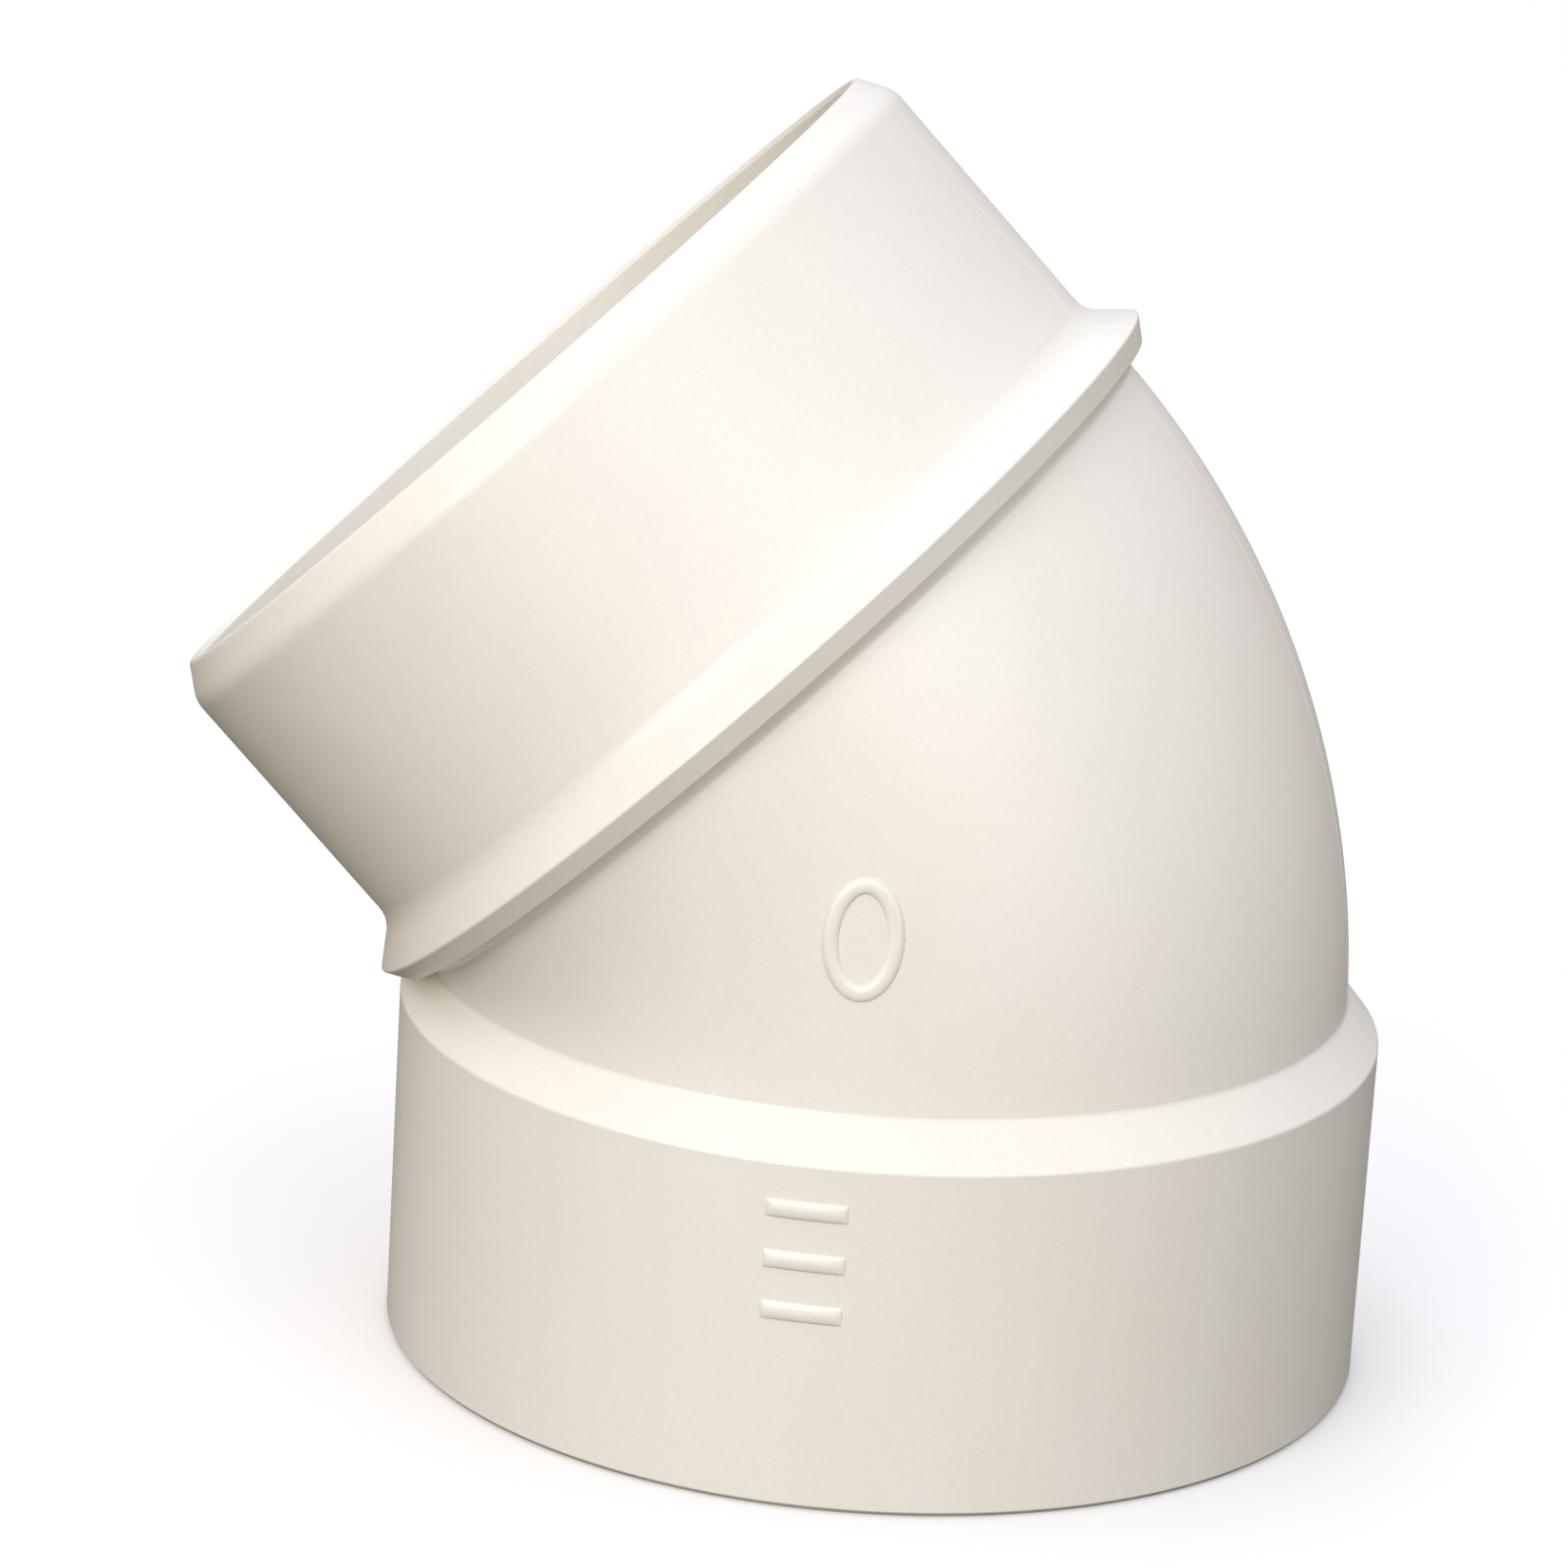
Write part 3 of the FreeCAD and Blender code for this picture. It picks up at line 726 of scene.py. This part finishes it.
def makeGateStub(values):
    low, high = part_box("gate_stub")
    centre = np.array([(low.x + high.x) / 2, (low.z + high.z) / 2]) / mm
    radius = values["radius"] * np.sin(np.linspace(0, 1, values["rings"] + 1)[1:] * math.pi / 2)
    turn = np.linspace(0, 2 * math.pi, values["steps"], endpoint=False)
    r, t = np.meshgrid(radius, turn, indexing="ij")
    edge = values["stubRadius"] * (1 + 0.06 * np.sin(3 * t + 0.7) + 0.03 * np.sin(7 * t))
    onStub = np.clip((edge - r) / 0.25, 0, 1) ** 0.5
    torn = values["tear"] * (np.sin(5.1 * r * np.cos(t) + 0.4) + np.sin(6.3 * r * np.sin(t) - 0.9))
    top = softRise(values["radius"] - r, values) + onStub * (values["stubHeight"] + torn)
    upper = onBend(centre[0] + r * np.cos(t), centre[1] + r * np.sin(t), top, 1)
    back = r[:-1][::-1]
    lower = onBend(centre[0] + back * np.cos(t[:-1]), centre[1] + back * np.sin(t[:-1]),
                   np.full(back.shape, -values["sunk"]), 1)
    rings = np.concatenate([upper, lower])
    middle = np.array([[centre[0]] * 2, [centre[1]] * 2])
    poles = onBend(middle[0], middle[1], np.array([values["height"] + values["stubHeight"], -values["sunk"]]), 1)
    rows, columns = rings.shape[:2]
    step = np.arange(columns)
    faces = list(wrappedFaces(rows, columns)[:(rows - 1) * columns])
    first, last = rows * columns, rows * columns + 1
    faces += [(first, k, (k + 1) % columns) for k in step]
    faces += [(last, (rows - 1) * columns + (k + 1) % columns, (rows - 1) * columns + k) for k in step]
    return skinPiece("gateStub", np.concatenate([rings.reshape(-1, 3), poles]), faces)


finishPiece(makeGateStub(gateStub), "gate_stub")
print("moulding marks made")


cameraSet = {
    "place": (99.46, -754.75, 303.56),   # mm, in the row frame
    "looksAt": (-15.17, 0.81, 70.22),
    "roll": 3.43,                        # degrees
    "lens": 146.8,
}


def makeCamera(values):
    data = bpy.data.cameras.new("camera")
    camera = bpy.data.objects.new("camera", data)
    bpy.context.scene.collection.objects.link(camera)
    place = Vector(values["place"]) * mm
    aim = Vector(values["looksAt"]) * mm - place
    roll = Matrix.Rotation(math.radians(values["roll"]), 3, "Z").to_quaternion()
    camera.rotation_mode = "QUATERNION"
    camera.location = place
    camera.rotation_quaternion = aim.to_track_quat("-Z", "Y") @ roll
    data.lens, data.sensor_width = values["lens"], 36
    data.clip_start, data.clip_end = 0.01, 30
    bpy.context.scene.camera = camera


makeCamera(cameraSet)


stageSet = {
    "reach": 6.0,           # m, half the floor's side
    "floor": "#f6f5f2",
    "domeStrength": 1.10,   # a white dome overhead, as from a large overhead softbox
    "domeFoot": 0.045,      # what is left of it below the horizon
    "domeColour": "#f1f4ff",
    "footColour": "#ffdf9c",
    "rightFlag": 0.30,      # black cards low at both sides take this share of the dome away
    "leftFlag": 0.35,
    "boxes": {              # azimuth, elevation, distance m, side m, watts, colour
        "frontBox": (-22, 14, 1.3, 0.9, 9.4, "#fffbf6"),
        "rightBox": (40, 18, 1.3, 0.9, 4.0, "#fbf8f4"),
        "leftBox": (-95, 25, 1.3, 0.9, 1.2, "#ffd79c"),
        "backBox": (-150, 50, 1.3, 0.9, 2.6, "#ffffff"),
    },
}


def makeStage(values):
    reach = values["reach"]
    floor = bpy.data.objects.new("floor", meshFrom(
        "floor", [(-reach, -reach, 0), (reach, -reach, 0), (reach, reach, 0), (-reach, reach, 0)], [(0, 1, 2, 3)]))
    bpy.context.scene.collection.objects.link(floor)
    # matt laminate, sprayed white: even and pale, with hardly any sheen
    sweep = bpy.data.materials.new("sprayedSweep")
    sweep.use_nodes = True
    tree = sweep.node_tree
    tree.nodes.clear()
    shader = addNode(tree, "ShaderNodeBsdfPrincipled", {"Base Color": linear(values["floor"]), "Roughness": 0.85})
    addNode(tree, "ShaderNodeOutputMaterial", {"Surface": shader.outputs["BSDF"]})
    floor.data.materials.append(sweep)
    floor.visible_diffuse = False    # the sweep lights nothing from below
    floor.visible_glossy = False

    world = bpy.data.worlds.new("dome")
    bpy.context.scene.world = world
    world.use_nodes = True
    tree = world.node_tree
    tree.nodes.clear()
    way = addNode(tree, "ShaderNodeTexCoord").outputs["Generated"]
    height = addNode(tree, "ShaderNodeSeparateXYZ", {"Vector": way})
    share = addNode(tree, "ShaderNodeMapRange", {"Value": height.outputs["Z"], "From Min": -0.3, "From Max": 0.3})
    strength = addNode(tree, "ShaderNodeMapRange", {
        "Value": share.outputs["Result"], "To Min": values["domeFoot"], "To Max": values["domeStrength"]})
    low = addNode(tree, "ShaderNodeMapRange", {
        "Value": height.outputs["Z"], "From Min": 0.15, "From Max": 0.65, "To Min": 1.0, "To Max": 0.0})
    right = addNode(tree, "ShaderNodeMapRange", {
        "Value": height.outputs["X"], "From Min": 0.05, "From Max": 0.75, "To Max": values["rightFlag"]})
    left = addNode(tree, "ShaderNodeMapRange", {
        "Value": height.outputs["X"], "From Min": -0.75, "From Max": -0.05,
        "To Min": values["leftFlag"], "To Max": 0.0})
    sides = addNode(tree, "ShaderNodeMath", {0: right.outputs["Result"], 1: left.outputs["Result"]}, operation="ADD")
    flagged = addNode(tree, "ShaderNodeMath", {0: sides.outputs[0], 1: low.outputs["Result"]}, operation="MULTIPLY")
    unflagged = addNode(tree, "ShaderNodeMath", {0: 1.0, 1: flagged.outputs[0]}, operation="SUBTRACT")
    strength = addNode(tree, "ShaderNodeMath", {
        0: strength.outputs["Result"], 1: unflagged.outputs[0]}, operation="MULTIPLY")
    colour = addNode(tree, "ShaderNodeMix", {
        0: share.outputs["Result"], 6: linear(values["footColour"]), 7: linear(values["domeColour"])}, data_type="RGBA")
    background = addNode(tree, "ShaderNodeBackground", {"Color": colour.outputs[2], "Strength": strength.outputs[0]})
    addNode(tree, "ShaderNodeOutputWorld", {"Surface": background.outputs["Background"]})

    for name, (azimuth, elevation, distance, side, watts, colour) in values["boxes"].items():
        light = bpy.data.lights.new(name, "AREA")
        light.energy, light.size, light.color = watts, side, linear(colour)[:3]
        box = bpy.data.objects.new(name, light)
        bpy.context.scene.collection.objects.link(box)
        a, e = math.radians(azimuth), math.radians(elevation)
        aim = Vector((0, 0, 0.07))
        box.location = aim + distance * Vector((math.sin(a) * math.cos(e), -math.cos(a) * math.cos(e), math.sin(e)))
        box.rotation_mode = "QUATERNION"
        box.rotation_quaternion = (aim - box.location).to_track_quat("-Z", "Y")


makeStage(stageSet)
bpy.context.scene.view_settings.view_transform = "Standard"

bpy.data.objects.remove(directionHolder)
